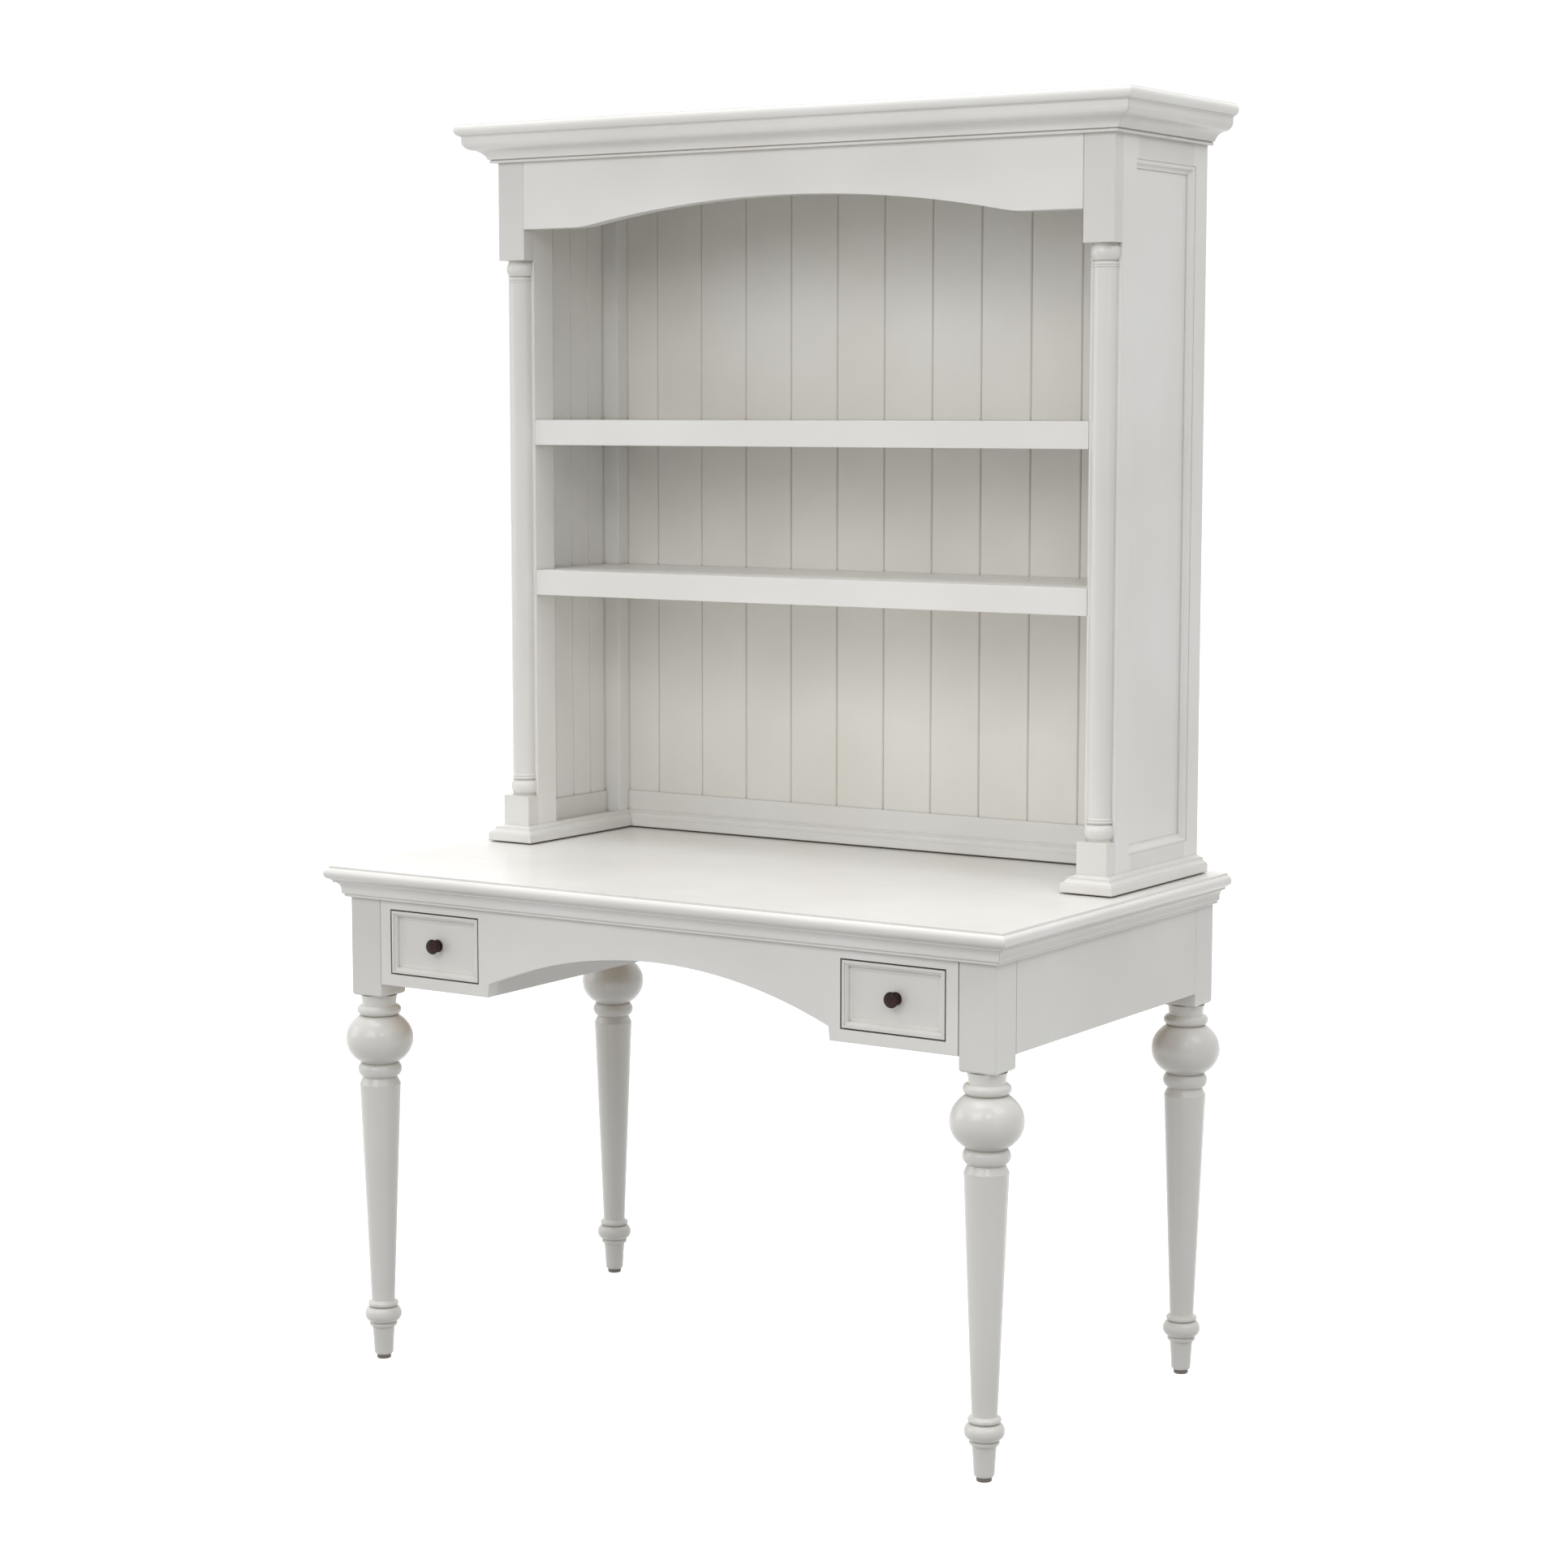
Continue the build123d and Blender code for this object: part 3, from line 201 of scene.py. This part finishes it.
def lacqueredPine(name, look):
    material, tree = newMaterial(name)
    place = addNode(tree, "ShaderNodeTexCoord").outputs["Object"]
    stretched = addNode(tree, "ShaderNodeMapping", {"Scale": (1.0, look["stretch"], 1.0)},
                        {"Vector": place}).outputs[0]
    rings = addNode(tree, "ShaderNodeTexWave", {"wave_type": "RINGS", "rings_direction": "Y",
                                                "Scale": perMetre(look["ringWidth"]) / look["wavesPerScale"],
                                                "Distortion": 6.0, "Detail": 3.0, "Detail Scale": 1.4},
                    {"Vector": stretched}).outputs["Fac"]
    fibres = addNode(tree, "ShaderNodeTexNoise", {"Scale": perMetre(look["fibreWidth"]), "Detail": 3.0},
                     {"Vector": stretched}).outputs["Fac"]
    mixed = addNode(tree, "ShaderNodeMath", {"operation": "MULTIPLY_ADD", 1: look["fibreShare"]},
                    {0: fibres, 2: rings}).outputs[0]
    ramp = addNode(tree, "ShaderNodeValToRGB", {}, {"Fac": mixed})
    ramp.color_ramp.elements[0].position = look["lightUpTo"]
    ramp.color_ramp.elements[0].color = linear(look["light"])
    ramp.color_ramp.elements[1].color = linear(look["dark"])
    bump = addNode(tree, "ShaderNodeBump", {"Strength": 0.12, "Distance": 0.0004},
                   {"Height": fibres}).outputs[0]
    shader = addNode(tree, "ShaderNodeBsdfPrincipled", {"Roughness": look["roughness"], "IOR": 1.5},
                     {"Base Color": ramp.outputs[0], "Normal": bump})
    addNode(tree, "ShaderNodeOutputMaterial", {}, {"Surface": shader.outputs[0]})
    return material


# Antique bronze, cast and darkened: nearly black brown, with warmer metal where fingers rub the rim
antiqueBronze = {"patina": "#211817", "brown": "#362724", "rubbed": "#6e4c39", "roughness": 0.42,
                 "mottle": 3.0, "edgeRound": 0.9, "edgeFrom": 0.995, "edgeWhole": 0.93, "rubbedMost": 0.5}


def darkBronze(name, look):
    material, tree = newMaterial(name)
    place = addNode(tree, "ShaderNodeTexCoord").outputs["Object"]
    mottle = addNode(tree, "ShaderNodeTexNoise", {"Scale": perMetre(look["mottle"]), "Detail": 4.0},
                     {"Vector": place}).outputs["Fac"]
    eased = addNode(tree, "ShaderNodeBevel", {"samples": 6, "Radius": look["edgeRound"] / 1000})
    eased = eased.outputs["Normal"]
    flat = addNode(tree, "ShaderNodeNewGeometry").outputs["True Normal"]
    facing = addNode(tree, "ShaderNodeVectorMath", {"operation": "DOT_PRODUCT"},
                     {0: eased, 1: flat}).outputs["Value"]
    rim = addNode(tree, "ShaderNodeMapRange", {"From Min": look["edgeFrom"], "From Max": look["edgeWhole"],
                                               "To Max": look["rubbedMost"]}, {"Value": facing}).outputs[0]
    colour = addNode(tree, "ShaderNodeMix", {"data_type": "RGBA", 6: linear(look["patina"]),
                                             7: linear(look["brown"])}, {0: mottle}).outputs[2]
    colour = addNode(tree, "ShaderNodeMix", {"data_type": "RGBA", 7: linear(look["rubbed"])},
                     {0: rim, 6: colour}).outputs[2]
    rough = addNode(tree, "ShaderNodeMapRange", {"From Min": 0.3, "From Max": 0.7,
                                                 "To Min": look["roughness"] - 0.08,
                                                 "To Max": look["roughness"] + 0.1},
                    {"Value": mottle}).outputs[0]
    bump = addNode(tree, "ShaderNodeBump", {"Strength": 0.15, "Distance": 0.0003},
                   {"Height": mottle, "Normal": eased}).outputs[0]
    shader = addNode(tree, "ShaderNodeBsdfPrincipled", {"Metallic": 0.85},
                     {"Base Color": colour, "Roughness": rough, "Normal": bump})
    addNode(tree, "ShaderNodeOutputMaterial", {}, {"Surface": shader.outputs[0]})
    return material


# Small hardware and feet share one plain recipe: a mottled colour, uneven gloss and a fine bump.
# The strips that the hutch stands on are dark grey as painted shade: they stand in for the shadow in the gap
# and show as a thin line under it.
zincPlate = {"colour": "#b4b8bc", "second": "#94979a", "metallic": 1.0, "roughness": 0.38, "grit": 2.0}
mouldedGlide = {"colour": "#857e77", "second": "#6f6963", "metallic": 0.0, "roughness": 0.55, "grit": 1.5}
shadowLineSpacer = {"colour": "#3a3937", "second": "#2c2b2a", "metallic": 0.0, "roughness": 0.75, "grit": 1.2}


def smallHardware(name, look):
    material, tree = newMaterial(name)
    place = addNode(tree, "ShaderNodeTexCoord").outputs["Object"]
    grit = addNode(tree, "ShaderNodeTexNoise", {"Scale": perMetre(look["grit"]), "Detail": 3.0},
                   {"Vector": place}).outputs["Fac"]
    colour = addNode(tree, "ShaderNodeMix", {"data_type": "RGBA", 6: linear(look["colour"]),
                                             7: linear(look["second"])}, {0: grit}).outputs[2]
    rough = addNode(tree, "ShaderNodeMapRange", {"From Min": 0.3, "From Max": 0.7,
                                                 "To Min": look["roughness"] - 0.06,
                                                 "To Max": look["roughness"] + 0.08},
                    {"Value": grit}).outputs[0]
    bump = addNode(tree, "ShaderNodeBump", {"Strength": 0.12, "Distance": 0.0002},
                   {"Height": grit}).outputs[0]
    shader = addNode(tree, "ShaderNodeBsdfPrincipled", {"Metallic": look["metallic"]},
                     {"Base Color": colour, "Roughness": rough, "Normal": bump})
    addNode(tree, "ShaderNodeOutputMaterial", {}, {"Surface": shader.outputs[0]})
    return material


finishes = {
    "painted_top": paintedWood("deskTopPaint", 0, roughness=0.24, strokeLength=320, wear=0.35),
    "painted_boards": paintedWood("boardPaint", 0),
    # painted shade: a darker copy of the same paint for the side pieces, which get less light
    "painted_sides": paintedWood("shadedSidePaint", 1, colour="#e5e4e0", cloud="#dedcd8"),
    "painted_uprights": paintedWood("uprightPaint", 2),
    # painted shade: a darker copy of the same paint for the legs and half columns
    "painted_turnings": paintedWood("shadedTurnedPaint", 2, colour="#e4e3df", cloud="#dedcd7", roughness=0.2,
                                    edgeRound=0.7, strokeLength=4, strokeWidth=40),
    "painted_beadboard": paintedWood("beadboardPaint", 2, colour="#efede8", cloud="#e7e4dd", roughness=0.32,
                                     glazeReach=4, edgeRound=0.6),
    # painted shade: a darker copy of the same paint for the drawer fronts, with darker glaze reaching further
    # into the moulding quirks
    "painted_drawers": paintedWood("shadedDrawerPaint", 0, colour="#e9e7e2", glaze="#978e82", glazeReach=10,
                                   edgeRound=0.6),
    "bare_wood": lacqueredPine("lacqueredPine", pineBoard),
    "dark_bronze": darkBronze("antiqueBronze", antiqueBronze),
    "plated_steel": smallHardware("zincPlatedSteel", zincPlate),
    "glide_plastic": smallHardware("mouldedGlide", mouldedGlide),
    "spacer_plastic": smallHardware("shadowLineSpacer", shadowLineSpacer),
}

for part in frame["record"]["subparts"]:
    piece = nodes[part["node"]]
    piece.data.materials.clear()
    piece.data.materials.append(finishes[part["material_slot"]])
hutchTop = nodes["hutch_top"].data.materials
hutchTop[0] = paintedWood("hutchTopShadedPaint", 0, dust=0.75)  # painted shade: the upward faces of the highest board are painted darker
print("finishes assigned:", len(finishes))

# Pale studio: white floor that runs back out of sight, white surround, soft boxes
studio = {
    "floorColour": "#f7f6f4",
    "floorHalf": 30,  # metres
    "floorGlow": 0.66,
    "seenWhite": 1.05,  # what the lens and the gloss see all round
    "surroundFront": 0.32,  # the room is darker behind the camera than behind the desk
    "surroundBack": 0.70,
    "backWay": (-0.53, 0.81, 0.25),
    "aim": (0.0, 0.0, 1.35),
    "front": {"place": (0.0, -4.2, 3.3), "size": 2.4, "power": 44},
    "left": {"place": (-4.4, -2.2, 2.0), "size": 2.6, "power": 31},
    "right": {"place": (3.4, -0.5, 4.3), "size": 2.2, "power": 36},
    "top": {"place": (-0.7, -0.5, 8.0), "size": 5.4, "power": 270},
    "inner": {"place": (2.3, -2.7, 2.9), "size": 0.9, "power": 11},  # reaches the left wall inside the hutch
    # bright line down the half columns
    "strip": {"place": (3.4, -1.9, 1.7), "size": 0.16, "tall": 2.2, "power": 5},
}


def makeFloor():
    mesh = bpy.data.meshes.new("studioFloor")
    half = studio["floorHalf"]
    corners = [(-half, -half, 0), (half, -half, 0), (half, half, 0), (-half, half, 0)]
    mesh.from_pydata(corners, [], [(0, 1, 2, 3)])
    floor = bpy.data.objects.new("studioFloor", mesh)
    bpy.context.scene.collection.objects.link(floor)
    material, tree = newMaterial("floorPaper")
    shader = addNode(tree, "ShaderNodeBsdfPrincipled", {
        "Base Color": linear(studio["floorColour"]), "Roughness": 0.9,
        "Emission Color": (1, 1, 1, 1), "Emission Strength": studio["floorGlow"]})
    addNode(tree, "ShaderNodeOutputMaterial", {}, {"Surface": shader.outputs[0]})
    mesh.materials.append(material)
    floor.visible_diffuse = False  # the surround lights the undersides, so the floor can stay pure white


def makeSurround():
    world = bpy.data.worlds.new("whiteSurround")
    bpy.context.scene.world = world
    world.use_nodes = True
    tree = world.node_tree
    tree.nodes.clear()
    # gloss and the lens see pure white
    lighting = addNode(tree, "ShaderNodeLightPath").outputs["Is Diffuse Ray"]
    way = addNode(tree, "ShaderNodeTexCoord").outputs["Generated"]
    back = addNode(tree, "ShaderNodeVectorMath", {"operation": "DOT_PRODUCT", 1: studio["backWay"]}, {0: way})
    ambient = addNode(tree, "ShaderNodeMapRange", {"From Min": -1.0, "To Min": studio["surroundFront"],
                                                   "To Max": studio["surroundBack"]},
                      {"Value": back.outputs["Value"]})
    strength = addNode(tree, "ShaderNodeMapRange", {"To Min": studio["seenWhite"]},
                       {"Value": lighting, "To Max": ambient.outputs[0]})
    shader = addNode(tree, "ShaderNodeBackground", {"Color": (1, 1, 1, 1)}, {"Strength": strength.outputs[0]})
    addNode(tree, "ShaderNodeOutputWorld", {}, {"Surface": shader.outputs[0]})


def makeSoftBox(name, place, size, power, tall=None):
    lamp = bpy.data.lights.new(name, "AREA")
    lamp.shape = "RECTANGLE"
    lamp.size = size
    lamp.size_y = tall or size
    lamp.energy = power
    box = bpy.data.objects.new(name, lamp)
    bpy.context.scene.collection.objects.link(box)
    box.location = place
    box.rotation_euler = (Vector(studio["aim"]) - Vector(place)).to_track_quat("-Z", "Y").to_euler()


makeFloor()
makeSurround()
for name in ("front", "left", "right", "top", "inner", "strip"):
    makeSoftBox(name + "Box", **studio[name])
print("studio made")

view = {"place": (2.70428, -4.11771, 1.47591), "turn": 33.197, "down": 6.548, "roll": -0.03, "lens": 74.67}
camera = bpy.data.objects.new("camera", bpy.data.cameras.new("camera"))
bpy.context.scene.collection.objects.link(camera)
camera.data.lens = view["lens"]
camera.data.sensor_width = 36.0
camera.data.clip_end = 100.0
camera.location = view["place"]
camera.rotation_euler = Euler((math.radians(90 - view["down"]), math.radians(view["roll"]),
                               math.radians(view["turn"])), "XYZ")
bpy.context.scene.camera = camera
bpy.context.scene.view_settings.view_transform = "Standard"
print("camera set")
